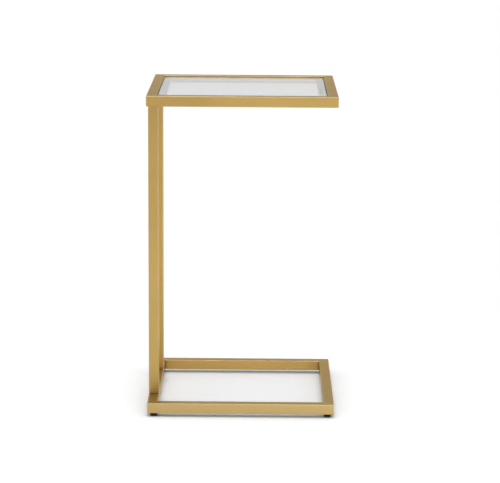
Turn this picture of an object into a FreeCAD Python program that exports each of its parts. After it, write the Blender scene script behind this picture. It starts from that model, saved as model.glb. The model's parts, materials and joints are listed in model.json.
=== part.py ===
"""Pull-up side table: a C-shaped frame of square steel tube with an inset glass top.

Frame of the part: millimetres, +Z up, the origin on the floor under the middle of the table.
X runs from the two uprights (minus side) to the free end of the cantilevered top.
Y runs from the front of the table (minus side) to its back.
"""
import FreeCAD, Part
import math
import os

# Overall size of the table
table_width = 400.0
table_depth = 380.0
table_height = 690.0

# Square tube that every rail and upright is cut from
tube_side = 22.0
tube_wall = 1.5
tube_edge_radius = 1.6
tube_inner_radius = 0.6
frame_corner_radius = 1.6

# Floor clearance under the base frame, made up by the levelling feet
floor_clearance = 7.5

# Uprights, set in from the front and back faces of the frames
upright_setback = 80.0

# Glass pane, lying below the top of the frame
glass_recess = 2.5
glass_thickness = 8.0
glass_edge_gap = 1.0
glass_corner_radius = 3.0
glass_arris = 0.6

# Ledge bars inside the top frame, and the soft channel pushed over their edges
ledge_width = 16.0
ledge_thickness = 5.0
trim_wall = 1.0
trim_lip = 6.0
trim_edge_gap = 0.5

# Screws that hold the uprights on the base frame
bolt_diameter = 6.0
bolt_head_diameter = 10.5
bolt_head_height = 3.3
bolt_head_top_diameter = 6.4
bolt_socket_flats = 4.0
bolt_socket_depth = 2.0
bolt_hole_clearance = 0.3
thread_clearance = 0.05
bolt_engagement = 16.0
washer_diameter = 12.0
washer_thickness = 1.2
plug_height = 20.0
upright_joint_gap = 1.0
plug_side_clearance = 0.1
plug_chamfer = 1.2
sleeve_wall = 2.0

# Levelling feet
foot_inset_x = 14.0
foot_inset_y = 11.0
pad_diameter = 16.0
pad_height = 4.6
pad_edge_radius = 1.2
pad_top_diameter = 13.0
pad_shoulder_height = 3.0
pad_floor = 1.2
stud_diameter = 6.0
stud_top_gap = 2.5
stud_ball_diameter = 6.4
stud_ball_clearance = 0.1
stud_neck_diameter = 4.6
collar_flats = 10.0
collar_height = 1.4
collar_gap = 0.3
insert_body_diameter = 9.0
insert_length = 12.0
insert_flange_diameter = 12.5
insert_flange_thickness = 0.8

# Overrun of cutting tools past the faces that they open
overrun = 1.0

# Places worked out from the sizes above
half_width = table_width / 2
half_depth = table_depth / 2
base_top = floor_clearance + tube_side
top_bottom = table_height - tube_side
upright_x = -half_width + tube_side / 2
upright_y = half_depth - upright_setback - tube_side / 2
glass_top = table_height - glass_recess
glass_bottom = glass_top - glass_thickness
ledge_top = glass_bottom - trim_wall
ledge_bottom = ledge_top - ledge_thickness
trim_bottom = ledge_bottom - trim_wall
bolt_head_seat = floor_clearance - washer_thickness
bolt_hole_diameter = bolt_diameter + 2 * bolt_hole_clearance
foot_x = half_width - foot_inset_x
foot_y = half_depth - foot_inset_y
ball_centre_height = pad_floor + stud_ball_clearance + stud_ball_diameter / 2
collar_top = floor_clearance - insert_flange_thickness - collar_gap
collar_bottom = collar_top - collar_height
stud_top = base_top - tube_wall - stud_top_gap

HEXAGON_SIDES = 6
SIDES = ("front", "back", "left", "right")
FOOT_PLACES = {
    "front_left": (-foot_x, -foot_y),
    "front_right": (foot_x, -foot_y),
    "back_left": (-foot_x, foot_y),
    "back_right": (foot_x, foot_y),
}
UPRIGHT_PLACES = {"front": (upright_x, -upright_y), "rear": (upright_x, upright_y)}

parts = {}


def vector(x, y, z):
    return FreeCAD.Vector(x, y, z)


def rounded_block(size_x, size_y, radius, bottom, height, centre=(0, 0)):
    """An upright block with rounded vertical edges."""
    hx, hy = size_x / 2, size_y / 2
    cx, cy = centre
    bend = radius * (1 - math.sqrt(2) / 2)
    edges = []
    corners = ((1, 1), (-1, 1), (-1, -1), (1, -1))
    for index, (sx, sy) in enumerate(corners):
        corner_x, corner_y = cx + sx * hx, cy + sy * hy
        on_y_face = vector(corner_x, corner_y - sy * radius, bottom)
        on_x_face = vector(corner_x - sx * radius, corner_y, bottom)
        middle = vector(corner_x - sx * bend, corner_y - sy * bend, bottom)
        start, end = (on_y_face, on_x_face) if sx == sy else (on_x_face, on_y_face)
        edges.append(Part.Arc(start, middle, end).toShape())
        next_sx, next_sy = corners[(index + 1) % len(corners)]
        next_x, next_y = cx + next_sx * hx, cy + next_sy * hy
        if next_sx == next_sy:
            next_start = vector(next_x, next_y - next_sy * radius, bottom)
        else:
            next_start = vector(next_x - next_sx * radius, next_y, bottom)
        edges.append(Part.LineSegment(end, next_start).toShape())
    face = Part.Face(Part.Wire(edges))
    return face.extrude(vector(0, 0, height))


def cylinder(diameter, bottom, height, place):
    return Part.makeCylinder(diameter / 2, height, vector(place[0], place[1], bottom))


def hexagon(flats, bottom, height, place):
    """A hexagonal prism, flats across the given size."""
    corner = flats / math.sqrt(3)
    points = []
    for step in range(HEXAGON_SIDES):
        angle = 2 * math.pi * step / HEXAGON_SIDES
        x = place[0] + corner * math.cos(angle)
        y = place[1] + corner * math.sin(angle)
        points.append(vector(x, y, bottom))
    return Part.Face(Part.makePolygon(points + points[:1])).extrude(vector(0, 0, height))


def turned(profile, place, bottom):
    """A solid turned about a vertical axis from (radius, height) points."""
    points = [vector(place[0] + radius, place[1], bottom + height) for radius, height in profile]
    face = Part.Face(Part.makePolygon(points + points[:1]))
    return face.revolve(vector(place[0], place[1], 0), vector(0, 0, 1), 360)


def square_tube(length, axis):
    """The tube about the origin's axis, starting at the origin, along X, Y or Z."""
    outer = rounded_block(tube_side, tube_side, tube_edge_radius, 0, length)
    bore_side = tube_side - 2 * tube_wall
    bore = rounded_block(bore_side, bore_side, tube_inner_radius, -overrun, length + 2 * overrun)
    tube = outer.cut(bore)
    if axis == "x":
        tube.rotate(vector(0, 0, 0), vector(0, 1, 0), 90)
    if axis == "y":
        tube.rotate(vector(0, 0, 0), vector(1, 0, 0), -90)
    return tube


def mitred_strip(side, inset, width, bottom, height):
    """One side of a rectangular ring, cut at 45 degrees at both ends.

    The ring's outer edge lies inset from the table's outer faces and it is width wide.
    """
    ox, oy = half_width - inset, half_depth - inset
    ix, iy = ox - width, oy - width
    corners = {
        "front": ((-ox, -oy), (ox, -oy), (ix, -iy), (-ix, -iy)),
        "back": ((-ox, oy), (ox, oy), (ix, iy), (-ix, iy)),
        "left": ((-ox, -oy), (-ox, oy), (-ix, iy), (-ix, -iy)),
        "right": ((ox, -oy), (ox, oy), (ix, iy), (ix, -iy)),
    }[side]
    points = [vector(x, y, bottom) for x, y in corners]
    return Part.Face(Part.makePolygon(points + points[:1])).extrude(vector(0, 0, height))


def frame_rail(side, bottom):
    """One mitred rail of a rectangular frame that stands on the given height."""
    middle = bottom + tube_side / 2
    if side in ("front", "back"):
        tube = square_tube(table_width, "x")
        offset = -half_depth + tube_side / 2
        y = offset if side == "front" else -offset
        tube.translate(vector(-half_width, y, middle))
    else:
        tube = square_tube(table_depth, "y")
        offset = -half_width + tube_side / 2
        x = offset if side == "left" else -offset
        tube.translate(vector(x, -half_depth, middle))
    tube = tube.common(mitred_strip(side, 0, tube_side, bottom, tube_side))
    plan = rounded_block(table_width, table_depth, frame_corner_radius, bottom, tube_side)
    return tube.common(plan)


def top_frame():
    for side in SIDES:
        parts["top_%s_rail" % side] = frame_rail(side, top_bottom)
        parts["ledge_%s" % side] = mitred_strip(
            side, tube_side, ledge_width, ledge_bottom, ledge_thickness)
        parts["glass_trim_%s" % side] = trim_channel(side)


def trim_channel(side):
    """A soft channel over the inner edge of one ledge bar, which the glass lies on."""
    nose_inset = tube_side + ledge_width
    lip_inset = nose_inset + trim_wall - trim_lip
    leg_inset = tube_side + trim_edge_gap
    leg_width = ledge_width - trim_edge_gap + trim_wall
    full_height = glass_bottom - trim_bottom
    leg = mitred_strip(side, leg_inset, leg_width, ledge_top, trim_wall)
    nose = mitred_strip(side, nose_inset, trim_wall, trim_bottom, full_height)
    lip = mitred_strip(side, lip_inset, trim_lip, trim_bottom, trim_wall)
    return leg.fuse([nose, lip]).removeSplitter()


def glass_pane():
    clear = 2 * (tube_side + glass_edge_gap)
    pane = rounded_block(table_width - clear, table_depth - clear,
                         glass_corner_radius, glass_bottom, glass_thickness)
    rims = [edge for edge in pane.Edges
            if abs(edge.BoundBox.ZMax - edge.BoundBox.ZMin) < glass_arris / 2]
    parts["glass_pane"] = pane.makeChamfer(glass_arris, rims)


def base_frame():
    """Base rails, drilled for the upright screws and for the inserts of the feet."""
    holes = [cylinder(bolt_hole_diameter, floor_clearance - overrun,
                      tube_side + 2 * overrun, place)
             for place in UPRIGHT_PLACES.values()]
    holes += [cylinder(insert_body_diameter, floor_clearance - overrun,
                       tube_wall + 2 * overrun, place)
              for place in FOOT_PLACES.values()]
    for side in SIDES:
        parts["base_%s_rail" % side] = frame_rail(side, floor_clearance).cut(holes)


def uprights():
    foot = base_top + upright_joint_gap
    for name, place in UPRIGHT_PLACES.items():
        tube = square_tube(top_bottom - foot, "z")
        tube.translate(vector(place[0], place[1], foot))
        parts["%s_upright" % name] = tube


def screw(place):
    """A button-head socket screw, pushed up through the base rail."""
    head_bottom = bolt_head_seat - bolt_head_height
    head = turned(((0, 0), (bolt_head_top_diameter / 2, 0),
                   (bolt_head_diameter / 2, bolt_head_height / 2),
                   (bolt_head_diameter / 2, bolt_head_height), (0, bolt_head_height)),
                  place, head_bottom)
    shank_length = washer_thickness + tube_side + bolt_engagement
    shank = cylinder(bolt_diameter, bolt_head_seat, shank_length, place)
    socket = hexagon(bolt_socket_flats, head_bottom - overrun,
                     bolt_socket_depth + overrun, place)
    return head.fuse(shank).cut(socket).removeSplitter()


def upright_fixings():
    screws, washers, sleeves = [], [], []
    for name, place in UPRIGHT_PLACES.items():
        screws.append(screw(place))
        hole = cylinder(bolt_hole_diameter, 0, base_top, place)
        washers.append(cylinder(washer_diameter, bolt_head_seat, washer_thickness, place).cut(hole))
        sleeve_diameter = bolt_hole_diameter + 2 * sleeve_wall
        sleeve_height = tube_side - 2 * tube_wall
        sleeve = cylinder(sleeve_diameter, floor_clearance + tube_wall, sleeve_height, place)
        sleeves.append(sleeve.cut(hole))
        plug_side = tube_side - 2 * tube_wall - 2 * plug_side_clearance
        plug = rounded_block(plug_side, plug_side, plug_chamfer, base_top, plug_height, place)
        thread = cylinder(bolt_diameter + 2 * thread_clearance, base_top - overrun,
                          plug_height + 2 * overrun, place)
        parts["%s_upright_plug" % name] = plug.cut(thread)
    parts["upright_screws"] = Part.makeCompound(screws)
    parts["upright_washers"] = Part.makeCompound(washers)
    parts["crush_sleeves"] = Part.makeCompound(sleeves)


def foot_insert(place):
    """A threaded insert, pressed up into the bottom wall of a base rail."""
    flange_bottom = floor_clearance - insert_flange_thickness
    flange = cylinder(insert_flange_diameter, flange_bottom, insert_flange_thickness, place)
    body = cylinder(insert_body_diameter, floor_clearance, insert_length, place)
    bore = cylinder(stud_diameter + 2 * thread_clearance, flange_bottom - overrun,
                    insert_length + insert_flange_thickness + 2 * overrun, place)
    return flange.fuse(body).cut(bore).removeSplitter()


def foot_stud(place):
    """The screwed stud of a foot: a ball in the pad, a hexagon collar and the thread."""
    centre = vector(place[0], place[1], ball_centre_height)
    ball = Part.makeSphere(stud_ball_diameter / 2, centre)
    lower_half = cylinder(stud_ball_diameter, 0, ball_centre_height, place)
    ball = ball.common(lower_half)
    neck = cylinder(stud_neck_diameter, ball_centre_height,
                    collar_bottom - ball_centre_height, place)
    collar = hexagon(collar_flats, collar_bottom, collar_height, place)
    thread = cylinder(stud_diameter, collar_top, stud_top - collar_top, place)
    return ball.fuse([neck, collar, thread]).removeSplitter()


def foot_pad(place):
    """The moulded pad: a flat round disc with a raised shoulder, open for the stud's ball."""
    radius = pad_diameter / 2
    edge = pad_edge_radius
    body = turned(((0, 0), (radius - edge, 0), (radius, edge), (radius, pad_shoulder_height),
                   (pad_top_diameter / 2, pad_height), (0, pad_height)), place, 0)
    socket_diameter = stud_ball_diameter + 2 * stud_ball_clearance
    centre = vector(place[0], place[1], ball_centre_height)
    socket = Part.makeSphere(socket_diameter / 2, centre)
    mouth = cylinder(socket_diameter, ball_centre_height, pad_height, place)
    return body.cut([socket, mouth])


def levelling_feet():
    inserts = []
    for name, place in FOOT_PLACES.items():
        inserts.append(foot_insert(place))
        parts["foot_stud_%s" % name] = foot_stud(place)
        parts["foot_pad_%s" % name] = foot_pad(place)
    parts["foot_inserts"] = Part.makeCompound(inserts)


top_frame()
glass_pane()
uprights()
base_frame()
upright_fixings()
levelling_feet()

os.makedirs("parts", exist_ok=True)
for node, shape in parts.items():
    shape.exportStep("parts/%s.step" % node)
    print(node, len(shape.Solids), shape.isValid(), round(shape.Volume, 1))
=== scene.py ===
import json
import math
from collections import namedtuple

import bmesh
import bpy
from mathutils import Matrix, Vector


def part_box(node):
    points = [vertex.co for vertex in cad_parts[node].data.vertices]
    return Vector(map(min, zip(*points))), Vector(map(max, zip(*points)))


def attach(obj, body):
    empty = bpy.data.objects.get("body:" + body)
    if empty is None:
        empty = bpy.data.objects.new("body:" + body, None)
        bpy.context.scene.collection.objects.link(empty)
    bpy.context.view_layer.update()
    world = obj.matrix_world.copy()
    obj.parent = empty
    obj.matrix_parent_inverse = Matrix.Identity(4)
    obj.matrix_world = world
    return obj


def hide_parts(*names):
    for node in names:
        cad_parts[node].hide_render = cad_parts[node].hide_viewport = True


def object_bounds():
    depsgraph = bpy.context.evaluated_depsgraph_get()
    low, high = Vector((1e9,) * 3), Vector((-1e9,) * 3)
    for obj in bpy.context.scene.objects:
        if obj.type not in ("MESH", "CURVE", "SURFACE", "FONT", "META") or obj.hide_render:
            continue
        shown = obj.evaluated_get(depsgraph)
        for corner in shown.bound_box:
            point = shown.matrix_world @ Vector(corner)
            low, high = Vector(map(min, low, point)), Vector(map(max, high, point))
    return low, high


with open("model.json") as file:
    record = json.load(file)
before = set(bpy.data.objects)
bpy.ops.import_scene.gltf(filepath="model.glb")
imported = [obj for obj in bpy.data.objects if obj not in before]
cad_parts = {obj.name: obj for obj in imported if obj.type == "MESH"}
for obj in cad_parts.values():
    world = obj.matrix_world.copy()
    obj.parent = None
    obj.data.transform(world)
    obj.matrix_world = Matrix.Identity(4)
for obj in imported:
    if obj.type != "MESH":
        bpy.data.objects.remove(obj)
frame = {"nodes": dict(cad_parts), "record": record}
cad_low, cad_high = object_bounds()

NODES = frame["nodes"]
SLOTS = {row["node"]: row["material_slot"] for row in frame["record"]["subparts"]}

# Sizes are in metres, in the frame of the part: +Z up, the front of the table towards -Y.
MM = 0.001
X, Y, Z = range(3)
BASE_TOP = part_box("base_front_rail")[1][Z]

# The corners of a rectangle as signs of X and Y, anticlockwise from the back right
CORNERS = ((1, 1), (-1, 1), (-1, -1), (1, -1))

# Directions from the middle of an arc, and a quarter of a turn, in degrees
RIGHT, UP, LEFT, DOWN = 0, 90, 180, 270
QUARTER = 90

# The photograph's frame, and the camera that its edges give
PHOTO_WIDTH = 500
FOCAL_LENGTH_PX = 1988.8
SENSOR_WIDTH = 36.0
CAMERA_PLACE = Vector((0.0363, -4.2789, 1.2274))
CAMERA_YAW = math.radians(-0.258)
CAMERA_TILT = math.radians(11.648)
CAMERA_ROLL = math.radians(0.4)

# Colours, linear
WHITE = (1.0, 1.0, 1.0)
GOLD = (0.51, 0.340, 0.112)
GOLD_DEEP = (0.452, 0.296, 0.091)
GOLD_FLAKE = (0.56, 0.375, 0.124)
# Next five: painted shade in inner corners, also the dark of the mitre joints; a painted pale
# reflection on the base frame; a painted warm reflection at the back; wear with a painted highlight
# on edges; a painted highlight on upper edges
GOLD_JOINT_AND_SHADE = (0.20, 0.125, 0.040)
GOLD_BASE_REFLECTION = (0.525, 0.39, 0.176)
GOLD_WARM_REFLECTION = (0.64, 0.39, 0.12)
GOLD_WORN_AND_LIT = (0.72, 0.56, 0.30)
GOLD_PAINTED_HIGHLIGHT = (0.80, 0.63, 0.37)
GOLD_EDGE_TINT = (0.80, 0.74, 0.57)
GLASS_TINT = (0.92, 0.915, 0.92)
GLASS_EDGE = (0.62, 0.76, 0.70)
GLASS_EDGE_SHADE = (0.52, 0.68, 0.61)
TRIM_WHITE = (0.985, 0.985, 0.975)
TRIM_SHADE = (0.95, 0.95, 0.94)
NYLON_BLACK = (0.012, 0.012, 0.013)
NYLON_WORN = (0.022, 0.022, 0.023)
OXIDE_BLACK = (0.030, 0.029, 0.028)
OXIDE_DARK = (0.024, 0.023, 0.022)
ZINC = (0.52, 0.53, 0.54)
ZINC_DARK = (0.44, 0.45, 0.46)
FLOOR_WHITE = (0.942, 0.957, 0.973)
# painted shade on the floor close under the object, darker and cooler
FLOOR_PAINTED_SHADE = (0.785, 0.885, 1.0)

# A noise: the size of its patches, its detail, how rough that detail is, and its seed
Pattern = namedtuple("Pattern", "size detail roughness seed", defaults=(3.0, 0.5, 0.0))

# A fine relief: its noise, its depth and how strongly it shows
Relief = namedtuple("Relief", "pattern depth strength")

# The values between which most of a noise lies
NOISE_SPAN = (0.3, 0.7)

# Gold lacquer, and the light orange peel of its skin
GOLD_METALLIC = 0.92
GOLD_ROUGHNESS = (0.34, 0.41)
GOLD_COAT_WEIGHT = 0.12
GOLD_COAT_ROUGHNESS = 0.28
GOLD_DRIFT = Pattern(140 * MM, detail=2.0, seed=4.0)
GOLD_SATIN = Pattern(26 * MM, detail=4.0)
GOLD_PEEL = Relief(Pattern(2.4 * MM, detail=2.0), 0.05 * MM, 0.35)

# Metal flake in the lacquer: the noise values where it shows, how much, and its bump
FLAKES = Pattern(0.4 * MM, detail=2.0, roughness=0.6)
FLAKE_SPAN = (0.45, 0.75)
FLAKE_SHARE = 0.35
FLAKE_DEPTH = 0.02 * MM
FLAKE_STRENGTH = 0.4

# Changes of the lacquer's colour: painted warm reflection towards the back, painted shade in the
# inner corners by the feet, painted pale reflection on the base frame, and dark along the mitres
REAR_FADE = (-120 * MM, 170 * MM)
WARM_REFLECTION_SHARE = 0.5
GOLD_CORNER_SHADE_REACH = 6 * MM
GOLD_CORNER_SHADE_SPAN = (0.5, 0.95)
FOOT_FADE = (45 * MM, 70 * MM)
BASE_REFLECTION_FADE = (BASE_TOP, BASE_TOP + 1.5 * MM)
BASE_REFLECTION_SHARE = 0.5
MITRE_LINE = 0.25 * MM
MITRE_SHARE = 0.2
MITRE_DEPTH = 0.08 * MM
MITRE_STRENGTH = 0.6

# Wear and painted highlight on the rounded edges. The last three spans are of the normal's height:
# faces that look down get neither, and the painted highlight lies on the edges between a side and a
# top face.
GOLD_EDGE_PATCHES = Pattern(9 * MM)
ROUNDED_EDGE_REACH = 1.4 * MM
ROUNDED_EDGE_SPAN = (0.80, 0.97)
WEAR_AND_HIGHLIGHT_SHARES = (0.35, 0.75)
HIGHLIGHT_SHARES = (0.35, 0.6)
UNDERSIDE_SPAN = (-0.3, -0.1)
SIDE_SPAN = (0.15, 0.40)
TOP_SPAN = (0.93, 0.99)

# Glass and its ground rim
GLASS_IOR = 1.5
GLASS_WAVE = Relief(Pattern(110 * MM, detail=1.0), 0.005 * MM, 0.3)
GLASS_EDGE_MOTTLE = Pattern(12 * MM)
GLASS_EDGE_ROUGHNESS = (0.35, 0.5)
GLASS_GRINDING = Relief(Pattern(0.5 * MM, detail=2.0), 0.03 * MM, 0.5)

# Soft trim and moulded nylon
TRIM_MOTTLE = Pattern(16 * MM)
TRIM_ROUGHNESS = (0.5, 0.65)
TRIM_SKIN = Relief(Pattern(1.1 * MM, detail=2.0), 0.03 * MM, 0.4)
NYLON_MOTTLE = Pattern(4 * MM)
NYLON_ROUGHNESS = (0.42, 0.6)
NYLON_SPARK = Relief(Pattern(0.55 * MM, detail=2.0), 0.05 * MM, 0.5)

# Blackened and zinc-plated steel
OXIDE_ROUGHNESS = (0.35, 0.47)
ZINC_ROUGHNESS = (0.30, 0.42)
STEEL_STAIN = Pattern(6 * MM, detail=4.0)
STEEL_GLOSS = Pattern(6 * MM)
STEEL_SCRATCH = Relief(Pattern(1.1 * MM, detail=2.0), 0.02 * MM, 0.4)

# Light, where 1 shows a white surface as white. The room's light changes a little from the
# front to the back, over a span of its direction along Y.
WALL_FRONT = 0.655
WALL_BACK = 0.676
WALL_FADE = (-0.6, 0.9)
FLOOR_GLOW = 0.20
FLOOR_HALF = 60.0
# Within this reach of the object the floor is painted darker and cooler and glows less
FLOOR_NOOK_REACH = 15 * MM
FLOOR_NOOK_SPAN = (0.3, 1.0)
OVERHEAD_AIM = (0.02, 0.04, -1.0)
OVERHEAD_ANGLE = math.radians(16.0)
OVERHEAD_STRENGTH = 0.63
LOW_LAMP_PLACE = (0.45, -1.3, 0.12)
LOW_LAMP_AIM = (0.1, 0.0, 0.1)
LOW_LAMP_SIZE = (0.9, 0.3)
LOW_LAMP_WATTS = 2.3
POOL_LAMP_PLACE = (0.25, -0.85, 0.95)
POOL_LAMP_AIM = (0.1, -0.40, 0.0)
POOL_LAMP_SIZE = (0.7, 0.5)
POOL_LAMP_WATTS = 1.1

# Rays for each test of how closed in a point is
OCCLUSION_SAMPLES = 16

# Sockets of the Mix node for a colour, by number, because their names repeat
MIX_FACTOR, MIX_FIRST, MIX_SECOND = 0, 6, 7
MIX_RESULT = 2

# Meshes: the steps of an arc, and the angle from which an edge shows sharp
ARC_STEPS = 6
SHARP_ANGLE = math.radians(35)

# Glass pane. A face whose normal is steeper than this is one of its two clear faces.
PANE_CORNER_RADIUS = 3.0 * MM
PANE_ARRIS = 0.6 * MM
CLEAR_FACE_NORMAL = 0.9

# Soft trim over the ledges
TRIM_SEAT_GAP = 0.15 * MM
TRIM_WALL = 1.0 * MM
TRIM_LIP = 6.0 * MM
TRIM_TIP_RADIUS = 0.4 * MM

# Weld beads at the top of the uprights. The shares are how much of its section a bead has at
# its ends, how much lower it is between its ripples, and how flat its face is.
BEAD_LEG = 2.6 * MM
BEAD_RIPPLE = 1.3 * MM
BEAD_SINK = 0.3 * MM
BEAD_END = 0.8 * MM
BEAD_END_SHARE = 0.15
BEAD_VALLEY_SHARE = 0.06
BEAD_FLAT_SHARE = 0.8
BEAD_STEPS_A_RIPPLE = 6
BEAD_ARC_STEPS = 8

# Levelling studs, with an M6 thread. Its crest and its root are each flat over a share of
# the pitch.
THREAD_PITCH = 1.0 * MM
THREAD_RADIUS = 2.98 * MM
THREAD_DEPTH = 0.6 * MM
THREAD_TIP = 0.7 * MM
THREAD_FLAT_SHARE = 3 / 26
THREAD_ROWS_A_PITCH = 8
THREAD_STEPS = 32
STUD_NODES = "foot_stud_"
STUD_BALL_RADIUS = 3.2 * MM
STUD_BALL_START = -85
STUD_NECK_RADIUS = 2.3 * MM
STUD_NECK_FILLET = 0.4 * MM
COLLAR_SIDES = 6
COLLAR_FLATS = 10.0 * MM
COLLAR_HEIGHT = 1.4 * MM
COLLAR_CHAMFER = 0.25 * MM
COLLAR_GAP = 0.3 * MM


class Nodes:
    """The node tree of a material or of the world, with short calls to add and join nodes."""

    def __init__(self, owner, output="ShaderNodeOutputMaterial"):
        owner.use_nodes = True
        self.owner = owner
        self.tree = owner.node_tree
        self.tree.nodes.clear()
        self.output = self.tree.nodes.new(output)

    def add(self, kind, inputs=(), **settings):
        """A node with its inputs by name or number, or as a tuple in the sockets' order."""
        node = self.tree.nodes.new(kind)
        for key, value in settings.items():
            setattr(node, key, value)
        pairs = inputs.items() if isinstance(inputs, dict) else enumerate(inputs)
        for key, value in pairs:
            self.put(node.inputs[key], value)
        return node

    def put(self, socket, value):
        """Links a socket, or sets it. A colour of three numbers gets its fourth."""
        if isinstance(value, bpy.types.NodeSocket):
            self.tree.links.new(value, socket)
        elif socket.type == "RGBA" and len(value) == 3:
            socket.default_value = (*value, 1.0)
        else:
            socket.default_value = value

    def place(self):
        """The point on the surface, in metres, on the part at rest."""
        return self.add("ShaderNodeTexCoord").outputs["Object"]

    def axes(self, vector):
        """The outputs X, Y and Z of a vector."""
        return self.add("ShaderNodeSeparateXYZ", (vector,)).outputs

    def noise(self, pattern):
        node = self.add("ShaderNodeTexNoise", {
            "Vector": self.place(), "W": pattern.seed, "Scale": 1 / pattern.size,
            "Detail": pattern.detail, "Roughness": pattern.roughness}, noise_dimensions="4D")
        return node.outputs["Fac"]

    def remap(self, value, start, end, low=0.0, high=1.0, **settings):
        """Goes from low to high while the value goes from start to end."""
        node = self.add("ShaderNodeMapRange", {
            "Value": value, "From Min": start, "From Max": end,
            "To Min": low, "To Max": high}, **settings)
        return node.outputs["Result"]

    def spread(self, noise, low=0.0, high=1.0):
        """A noise stretched so that it goes all the way from low to high."""
        return self.remap(noise, *NOISE_SPAN, low, high)

    def maths(self, operation, *values):
        return self.add("ShaderNodeMath", values, operation=operation).outputs[0]

    def product(self, first, second):
        return self.maths("MULTIPLY", first, second)

    def opposite(self, share):
        """1 where the share is 0, and 0 where it is 1."""
        return self.maths("SUBTRACT", 1.0, share)

    def mix(self, factor, first, second):
        sockets = {MIX_FACTOR: factor, MIX_FIRST: first, MIX_SECOND: second}
        return self.add("ShaderNodeMix", sockets, data_type="RGBA").outputs[MIX_RESULT]

    def openness(self, reach, **settings):
        """From 0 where all is closed in within reach to 1 where nothing is near."""
        node = self.add("ShaderNodeAmbientOcclusion", {"Distance": reach},
                        samples=OCCLUSION_SAMPLES, **settings)
        return node.outputs["AO"]

    def edge(self, reach):
        """1 on a rounded outer edge of a wall thicker than reach, 0 on its flats."""
        inner = self.openness(reach, inside=True, only_local=True)
        return self.remap(inner, *ROUNDED_EDGE_SPAN, 1.0, 0.0)

    def bump(self, height, distance, strength, normal=None):
        """A bump, over another normal where one is given."""
        inputs = {"Height": height, "Distance": distance, "Strength": strength}
        if normal:
            inputs["Normal"] = normal
        return self.add("ShaderNodeBump", inputs).outputs["Normal"]

    def relief(self, skin):
        """The bump of a fine relief."""
        return self.bump(self.noise(skin.pattern), skin.depth, skin.strength)

    def principled(self, inputs):
        return self.finish(self.add("ShaderNodeBsdfPrincipled", inputs))

    def finish(self, node):
        """Joins the last node to the output, and gives the material or the world."""
        self.tree.links.new(node.outputs[0], self.output.inputs["Surface"])
        return self.owner


def mitre_line(nodes):
    """1 on the plane where two rails meet at 45 degrees, 0 away from it."""
    place = nodes.axes(nodes.place())
    across = nodes.maths("ABSOLUTE", place["X"])
    along = nodes.maths("ABSOLUTE", place["Y"])
    corner_offset = (cad_high[X] - cad_low[X] - cad_high[Y] + cad_low[Y]) / 2
    off_plane = nodes.maths("SUBTRACT", nodes.maths("SUBTRACT", across, along), corner_offset)
    return nodes.remap(nodes.maths("ABSOLUTE", off_plane), 0.0, MITRE_LINE, 1.0, 0.0)


def lacquer_colour(nodes, flakes, line):
    """The lacquer's colour, with its flakes, and the line along each mitre.

    It drifts slowly. It has a painted warm reflection that makes it redder towards the back, a
    painted pale reflection on the base frame, less towards the back, and painted shade in the inner
    corners by the feet.
    """
    place = nodes.axes(nodes.place())
    rear = nodes.remap(place["Y"], *REAR_FADE)
    base_reflection = nodes.remap(place["Z"], *BASE_REFLECTION_FADE, BASE_REFLECTION_SHARE, 0.0)
    by_feet = nodes.remap(place["Z"], *FOOT_FADE, 1.0, 0.0)
    painted_corner_shade = nodes.remap(nodes.openness(GOLD_CORNER_SHADE_REACH), *GOLD_CORNER_SHADE_SPAN, 1.0, 0.0)
    flake_share = nodes.remap(flakes, *FLAKE_SPAN, 0.0, FLAKE_SHARE)
    colour = nodes.mix(nodes.spread(nodes.noise(GOLD_DRIFT)), GOLD_DEEP, GOLD)
    colour = nodes.mix(flake_share, colour, GOLD_FLAKE)
    # painted warm reflection, redder towards the back
    colour = nodes.mix(nodes.product(rear, WARM_REFLECTION_SHARE), colour, GOLD_WARM_REFLECTION)
    colour = nodes.mix(nodes.product(line, MITRE_SHARE), colour, GOLD_JOINT_AND_SHADE)
    # painted pale reflection on the base frame, less towards the back
    colour = nodes.mix(nodes.product(base_reflection, nodes.opposite(rear)), colour, GOLD_BASE_REFLECTION)
    # painted shade in the inner corners by the feet
    return nodes.mix(nodes.product(painted_corner_shade, by_feet), colour, GOLD_JOINT_AND_SHADE)


def worn_and_highlit_edges(nodes, colour):
    """A colour paler on the tubes' rounded edges, partly wear and partly painted highlight, and
    brightest on the upper ones, a painted highlight.
    """
    up = nodes.axes(nodes.add("ShaderNodeTexCoord").outputs["Normal"])["Z"]
    edge_patches = nodes.noise(GOLD_EDGE_PATCHES)
    # wear and painted highlight on the rounded edges, none on the undersides
    wear_and_highlight = nodes.product(nodes.edge(ROUNDED_EDGE_REACH), nodes.spread(edge_patches, *WEAR_AND_HIGHLIGHT_SHARES))
    worn_and_lit = nodes.product(wear_and_highlight, nodes.remap(up, *UNDERSIDE_SPAN))
    above_side = nodes.remap(up, *SIDE_SPAN)
    below_top = nodes.remap(up, *TOP_SPAN, 1.0, 0.0)
    # painted highlight on the upper edges
    painted_highlight = nodes.product(nodes.product(above_side, below_top), nodes.spread(edge_patches, *HIGHLIGHT_SHARES))
    return nodes.mix(painted_highlight, nodes.mix(worn_and_lit, colour, GOLD_WORN_AND_LIT), GOLD_PAINTED_HIGHLIGHT)


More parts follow.
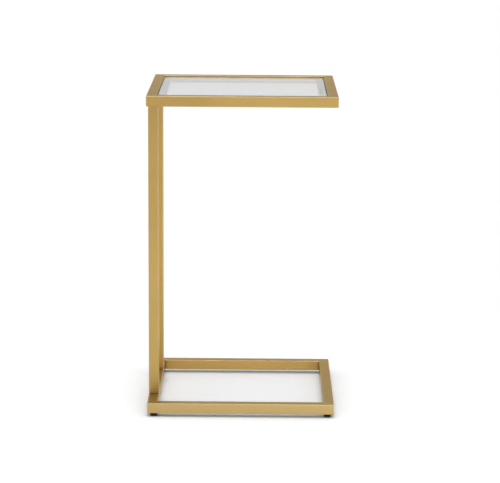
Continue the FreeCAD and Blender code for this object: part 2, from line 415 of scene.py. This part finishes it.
def gold_coat():
    """Satin metallic lacquer on welded steel tube.

    It has fine flake, a light orange peel, and a faint hollow where it sinks along each
    ground mitre.
    """
    nodes = Nodes(bpy.data.materials.new("gold_coat"))
    flakes = nodes.noise(FLAKES)
    line = mitre_line(nodes)
    grain = nodes.bump(flakes, FLAKE_DEPTH, FLAKE_STRENGTH, nodes.relief(GOLD_PEEL))
    sunk = nodes.bump(nodes.opposite(line), MITRE_DEPTH, MITRE_STRENGTH, grain)
    return nodes.principled({
        "Base Color": worn_and_highlit_edges(nodes, lacquer_colour(nodes, flakes, line)),
        "Metallic": GOLD_METALLIC,
        "Roughness": nodes.spread(nodes.noise(GOLD_SATIN), *GOLD_ROUGHNESS),
        "Specular Tint": GOLD_EDGE_TINT,
        "Coat Weight": GOLD_COAT_WEIGHT,
        "Coat Roughness": GOLD_COAT_ROUGHNESS,
        "Normal": sunk})


def pane_glass():
    """Clear float glass, flat to a few thousandths of a millimetre."""
    nodes = Nodes(bpy.data.materials.new("pane_glass"))
    return nodes.principled({
        "Base Color": GLASS_TINT, "Roughness": 0.0, "IOR": GLASS_IOR,
        "Transmission Weight": 1.0, "Normal": nodes.relief(GLASS_WAVE)})


def mottled(name, colours, mottle, roughness, skin):
    """A plain finish whose colour and gloss vary a little, with a fine skin."""
    nodes = Nodes(bpy.data.materials.new(name))
    patches = nodes.noise(mottle)
    return nodes.principled({
        "Base Color": nodes.mix(patches, *colours),
        "Roughness": nodes.spread(patches, *roughness),
        "Normal": nodes.relief(skin)})


def ground_edge():
    """The fine-ground rim of the pane, pale green and matt."""
    colours = (GLASS_EDGE_SHADE, GLASS_EDGE)
    return mottled("ground_edge", colours, GLASS_EDGE_MOTTLE, GLASS_EDGE_ROUGHNESS, GLASS_GRINDING)


def soft_trim():
    """Whitish soft plastic."""
    return mottled("soft_trim", (TRIM_SHADE, TRIM_WHITE), TRIM_MOTTLE, TRIM_ROUGHNESS, TRIM_SKIN)


def black_nylon():
    """Moulded nylon with a fine spark-eroded skin."""
    colours = (NYLON_BLACK, NYLON_WORN)
    return mottled("black_nylon", colours, NYLON_MOTTLE, NYLON_ROUGHNESS, NYLON_SPARK)


def plated_steel(name, colours, roughness):
    """Plated or blackened steel, a little stained and finely scratched."""
    nodes = Nodes(bpy.data.materials.new(name))
    return nodes.principled({
        "Base Color": nodes.mix(nodes.noise(STEEL_STAIN), *colours),
        "Metallic": 1.0,
        "Roughness": nodes.spread(nodes.noise(STEEL_GLOSS), *roughness),
        "Normal": nodes.relief(STEEL_SCRATCH)})


def new_object(name, data):
    """Puts an object with this mesh, lamp or camera in the scene."""
    thing = bpy.data.objects.new(name, data)
    bpy.context.scene.collection.objects.link(thing)
    return thing


def add_piece(name, mesh, body, slot, stands_for=()):
    """A piece of the object that rides on a CAD body, shaded smooth but for its sharp edges."""
    mesh.shade_smooth()
    mesh.set_sharp_from_angle(angle=SHARP_ANGLE)
    mesh.materials.append(FINISHES[slot])
    thing = new_object(name, mesh)
    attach(thing, body)
    if stands_for:
        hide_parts(*stands_for)


def closed_mesh(name, build, *values):
    """A mesh that build makes from the values, with every face turned outwards."""
    shape = bmesh.new()
    build(shape, *values)
    bmesh.ops.recalc_face_normals(shape, faces=shape.faces)
    mesh = bpy.data.meshes.new(name)
    shape.to_mesh(mesh)
    shape.free()
    return mesh


def loft(shape, rows):
    """Faces between closed rows of points, with a cap over the first and the last row."""
    rings = [[shape.verts.new(point) for point in row] for row in rows]
    for ring, following in zip(rings, rings[1:]):
        for index, vertex in enumerate(ring):
            after = (index + 1) % len(ring)
            shape.faces.new((vertex, ring[after], following[after], following[index]))
    shape.faces.new(rings[0])
    shape.faces.new(rings[-1])


def arc(centre, radius, start, sweep):
    """Points on an arc in a plane, from a direction through a sweep, both in degrees."""
    angles = [math.radians(start + sweep * step / ARC_STEPS) for step in range(ARC_STEPS + 1)]
    return [(centre[X] + radius * math.cos(angle), centre[Y] + radius * math.sin(angle))
            for angle in angles]


def pane_ring(high, inset, height):
    """A rectangle with rounded corners, inset from the pane's sides."""
    radius = PANE_CORNER_RADIUS - inset
    x = high[X] - PANE_CORNER_RADIUS
    y = high[Y] - PANE_CORNER_RADIUS
    ring = []
    for corner, (x_side, y_side) in enumerate(CORNERS):
        ring += arc((x_side * x, y_side * y), radius, QUARTER * corner, QUARTER)
    return [(across, along, height) for across, along in ring]


def glass_pane():
    """The pane with clear faces, and a ground rim with an arris above and below."""
    low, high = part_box("glass_pane")
    rows = [pane_ring(high, PANE_ARRIS, low[Z]),
            pane_ring(high, 0.0, low[Z] + PANE_ARRIS),
            pane_ring(high, 0.0, high[Z] - PANE_ARRIS),
            pane_ring(high, PANE_ARRIS, high[Z])]
    mesh = closed_mesh("clear_pane", loft, rows)
    add_piece("clear_pane", mesh, "glass", SLOTS["glass_pane"], ("glass_pane",))
    mesh.materials.append(GROUND_EDGE)
    for face in mesh.polygons:
        face.material_index = 0 if abs(face.normal.z) > CLEAR_FACE_NORMAL else 1


def trim_profile(width, bottom, ledge_top, top):
    """A channel's section as (inward, height) points, over a ledge, round its edge and under it."""
    tip = TRIM_TIP_RADIUS
    nose = width - TRIM_WALL
    lip = width - TRIM_LIP
    profile = [(0.0, ledge_top)]
    profile += arc((tip, top - tip), tip, LEFT, -QUARTER)
    profile += arc((nose, top - TRIM_WALL), TRIM_WALL, UP, -QUARTER)
    profile += arc((nose, bottom + TRIM_WALL), TRIM_WALL, RIGHT, -QUARTER)
    profile += arc((lip + tip, bottom + tip), tip, DOWN, -QUARTER)
    profile += [(lip, bottom + TRIM_WALL), (nose, bottom + TRIM_WALL), (nose, ledge_top)]
    return profile


def soft_trims():
    """Soft channels pushed over the ledges' edges, with a rounded nose and rounded lips."""
    low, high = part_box("glass_trim_front")
    ledge_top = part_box("ledge_front")[1][Z]
    profile = trim_profile(high[Y] - low[Y], low[Z], ledge_top, high[Z] - TRIM_SEAT_GAP)
    side_ends = {"front": ((-1, -1), (1, -1)), "right": ((1, -1), (1, 1)),
                 "back": ((1, 1), (-1, 1)), "left": ((-1, 1), (-1, -1))}
    for side, ends in side_ends.items():
        rows = [[(x_side * (-low[X] - inward), y_side * (-low[Y] - inward), height)
                 for inward, height in profile] for x_side, y_side in ends]
        node = "glass_trim_" + side
        mesh = closed_mesh("soft_trim_" + side, loft, rows)
        add_piece("soft_trim_" + side, mesh, "frame", SLOTS[node], (node,))


def weld_bead(shape, x_start, x_end, y_face, y_side, z_face):
    """A rippled fillet in the corner between a rail's underside and an upright's face."""
    ripples = round((x_end - x_start) / BEAD_RIPPLE)
    steps = ripples * BEAD_STEPS_A_RIPPLE
    rows = []
    for step in range(steps + 1):
        share = step / steps
        x = x_start + (x_end - x_start) * share
        from_end = min(x - x_start, x_end - x)
        taper = math.sqrt(min(1.0, BEAD_END_SHARE + from_end / BEAD_END))
        valley = 1 - abs(math.sin(math.pi * ripples * share))
        leg = BEAD_LEG * taper * (1 - BEAD_VALLEY_SHARE * valley)
        row = [(x, y_face - y_side * BEAD_SINK, z_face + BEAD_SINK)]
        for turn in range(BEAD_ARC_STEPS + 1):
            angle = math.pi / 2 * turn / BEAD_ARC_STEPS
            flat = 1 / (math.cos(angle) + math.sin(angle))
            reach = leg * (BEAD_FLAT_SHARE * flat + 1 - BEAD_FLAT_SHARE)
            row.append((x, y_face + y_side * reach * math.cos(angle),
                        z_face - reach * math.sin(angle)))
        rows.append(row)
    loft(shape, rows)


def weld_pair(shape, low, high):
    """The beads at the front and the rear face of one upright."""
    for y_face, y_side in ((low[Y], -1), (high[Y], 1)):
        weld_bead(shape, low[X] + BEAD_END, high[X] - BEAD_END, y_face, y_side, high[Z])


def upright_welds():
    """Two beads at the top of each upright. The flush faces at its sides are ground."""
    for upright in ("front_upright", "rear_upright"):
        mesh = closed_mesh(upright + "_weld", weld_pair, *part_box(upright))
        add_piece(upright + "_weld", mesh, "frame", SLOTS[upright])


def turned_point(place, radius, share, height):
    """The point at a share of a turn round a vertical axis."""
    angle = math.tau * share
    return (place[X] + radius * math.cos(angle), place[Y] + radius * math.sin(angle), height)


def turned_rows(place, profile, steps):
    """Rings about a vertical axis from (radius, height) points."""
    return [[turned_point(place, radius, step / steps, height) for step in range(steps)]
            for radius, height in profile]


def thread_radius(share, height, top):
    """The radius of a right-hand thread, which runs out in a taper at its top."""
    phase = (height / THREAD_PITCH - share) % 1.0
    flank = (abs(2 * phase - 1) - THREAD_FLAT_SHARE) / (1 - 2 * THREAD_FLAT_SHARE)
    ridge = min(1.0, max(0.0, flank))
    run_out = min(1.0, (top - height) / THREAD_TIP)
    return THREAD_RADIUS - THREAD_DEPTH * (1 - ridge * run_out)


def thread_rows(place, bottom, top):
    """Rings of a thread about a vertical axis, several to each of its turns."""
    count = round((top - bottom) / THREAD_PITCH * THREAD_ROWS_A_PITCH)
    heights = [bottom + (top - bottom) * index / count for index in range(count + 1)]
    shares = [step / THREAD_STEPS for step in range(THREAD_STEPS)]
    return [[turned_point(place, thread_radius(share, height, top), share, height)
             for share in shares] for height in heights]


def threaded_stud(shape, low, high, collar_top):
    """The ball, the neck, the hexagon collar and the thread of one levelling foot."""
    place = ((low[X] + high[X]) / 2, (low[Y] + high[Y]) / 2)
    collar_bottom = collar_top - COLLAR_HEIGHT
    ball_centre = low[Z] + STUD_BALL_RADIUS
    profile = arc((0.0, ball_centre), STUD_BALL_RADIUS, STUD_BALL_START, -STUD_BALL_START)
    profile += arc((STUD_NECK_RADIUS + STUD_NECK_FILLET, ball_centre + STUD_NECK_FILLET),
                   STUD_NECK_FILLET, DOWN, -QUARTER)
    profile += [(STUD_NECK_RADIUS, collar_bottom + COLLAR_CHAMFER)]
    loft(shape, turned_rows(place, profile, THREAD_STEPS))
    corner = COLLAR_FLATS / 2 / math.cos(math.pi / COLLAR_SIDES)
    collar = [(corner - COLLAR_CHAMFER, collar_bottom), (corner, collar_bottom + COLLAR_CHAMFER),
              (corner, collar_top - COLLAR_CHAMFER), (corner - COLLAR_CHAMFER, collar_top)]
    loft(shape, turned_rows(place, collar, COLLAR_SIDES))
    loft(shape, thread_rows(place, collar_top - COLLAR_CHAMFER, high[Z]))


def levelling_studs():
    """Studs with a cut thread, which shows when a foot is screwed out."""
    collar_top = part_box("foot_inserts")[0][Z] - COLLAR_GAP
    for node in sorted(name for name in NODES if name.startswith(STUD_NODES)):
        corner = node.removeprefix(STUD_NODES)
        mesh = closed_mesh("threaded_stud_" + corner, threaded_stud, *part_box(node), collar_top)
        add_piece("threaded_stud_" + corner, mesh, "stud_" + corner, SLOTS[node], (node,))


def dress_nodes():
    """Every CAD node gets the finish of its material slot."""
    for node, slot in SLOTS.items():
        NODES[node].data.materials.clear()
        NODES[node].data.materials.append(FINISHES[slot])


def floor_white():
    """White that keeps the object's shadow and glows a little where it is open.

    Close under the object its colour is painted darker, a painted shade, and a little cooler, so
    that the light from the gold doesn't tint it; its glow fades there too, which paints more shade.
    """
    nodes = Nodes(bpy.data.materials.new("floor_white"))
    open_share = nodes.remap(nodes.openness(FLOOR_NOOK_REACH), *FLOOR_NOOK_SPAN)
    # painted shade: darker and cooler close under the object
    colour = nodes.mix(open_share, FLOOR_PAINTED_SHADE, FLOOR_WHITE)
    diffuse = nodes.add("ShaderNodeBsdfDiffuse", {"Color": colour})
    path = nodes.add("ShaderNodeLightPath").outputs
    seen = nodes.maths("MAXIMUM", path["Is Camera Ray"], path["Is Transmission Ray"])
    seen = nodes.maths("MAXIMUM", seen, path["Is Glossy Ray"])
    # the glow fades close under the object, a painted shade
    strength = nodes.product(nodes.product(seen, open_share), FLOOR_GLOW)
    glow = nodes.add("ShaderNodeEmission", {"Strength": strength})
    return nodes.finish(nodes.add("ShaderNodeAddShader", (diffuse.outputs[0], glow.outputs[0])))


def floor():
    """A plain white floor, wide enough to fill every view."""
    mesh = bpy.data.meshes.new("floor")
    corners = [(x_side * FLOOR_HALF, y_side * FLOOR_HALF, 0.0) for x_side, y_side in CORNERS]
    mesh.from_pydata(corners, [], [tuple(range(len(corners)))])
    mesh.materials.append(floor_white())
    new_object("floor", mesh)


def world_light():
    """Studio light, nearly even, and white where the camera sees past the floor."""
    world = bpy.data.worlds.new("studio")
    bpy.context.scene.world = world
    nodes = Nodes(world, "ShaderNodeOutputWorld")
    to_back = nodes.axes(nodes.add("ShaderNodeTexCoord").outputs["Generated"])["Y"]
    strength = nodes.remap(to_back, *WALL_FADE, WALL_FRONT, WALL_BACK,
                           interpolation_type="SMOOTHSTEP")
    room = nodes.add("ShaderNodeBackground", {"Strength": strength, "Color": WHITE})
    white = nodes.add("ShaderNodeBackground", {"Color": WHITE})
    camera_ray = nodes.add("ShaderNodeLightPath").outputs["Is Camera Ray"]
    shaders = (camera_ray, room.outputs[0], white.outputs[0])
    nodes.finish(nodes.add("ShaderNodeMixShader", shaders))


def add_lamp(name, data, toward):
    """A lamp that shines in a direction."""
    lamp = new_object(name, data)
    lamp.rotation_mode = "QUATERNION"
    lamp.rotation_quaternion = Vector(toward).to_track_quat("-Z", "Y")
    return lamp


def softbox(name, place, target, size, watts, mirrored=True):
    """A rectangular lamp, which metal and glass show unless it isn't mirrored."""
    data = bpy.data.lights.new(name, "AREA")
    data.shape = "RECTANGLE"
    data.size, data.size_y = size
    data.energy = watts
    lamp = add_lamp(name, data, Vector(target) - Vector(place))
    lamp.location = place
    lamp.visible_glossy = mirrored


def lamps():
    """A far overhead lamp, a low one at the front right and one over the floor in front."""
    overhead = bpy.data.lights.new("overhead", "SUN")
    overhead.energy = OVERHEAD_STRENGTH
    overhead.angle = OVERHEAD_ANGLE
    add_lamp("overhead", overhead, OVERHEAD_AIM)
    softbox("low_front", LOW_LAMP_PLACE, LOW_LAMP_AIM, LOW_LAMP_SIZE, LOW_LAMP_WATTS)
    softbox("floor_pool", POOL_LAMP_PLACE, POOL_LAMP_AIM, POOL_LAMP_SIZE, POOL_LAMP_WATTS,
            mirrored=False)


def camera():
    """The photograph's camera: a long lens aimed a little down, with no shift."""
    data = bpy.data.cameras.new("camera")
    data.sensor_width = SENSOR_WIDTH
    data.lens = FOCAL_LENGTH_PX * SENSOR_WIDTH / PHOTO_WIDTH
    thing = new_object("camera", data)
    ahead = Vector((math.sin(CAMERA_YAW) * math.cos(CAMERA_TILT),
                    math.cos(CAMERA_YAW) * math.cos(CAMERA_TILT), -math.sin(CAMERA_TILT)))
    level = Vector((math.cos(CAMERA_YAW), -math.sin(CAMERA_YAW), 0.0))
    above = level.cross(ahead)
    right = level * math.cos(CAMERA_ROLL) + above * math.sin(CAMERA_ROLL)
    up = above * math.cos(CAMERA_ROLL) - level * math.sin(CAMERA_ROLL)
    turn = Matrix((right, up, -ahead)).transposed().to_4x4()
    thing.matrix_world = Matrix.Translation(CAMERA_PLACE) @ turn
    bpy.context.scene.camera = thing


FINISHES = {
    "gold_frame": gold_coat(),
    "glass": pane_glass(),
    "soft_trim": soft_trim(),
    "black_nylon": black_nylon(),
    "dark_steel": plated_steel("oxide_steel", (OXIDE_DARK, OXIDE_BLACK), OXIDE_ROUGHNESS),
    "zinc_steel": plated_steel("zinc_steel", (ZINC_DARK, ZINC), ZINC_ROUGHNESS),
}

GROUND_EDGE = ground_edge()

dress_nodes()
glass_pane()
soft_trims()
upright_welds()
levelling_studs()
floor()
world_light()
lamps()
camera()
bpy.context.scene.view_settings.view_transform = "Standard"
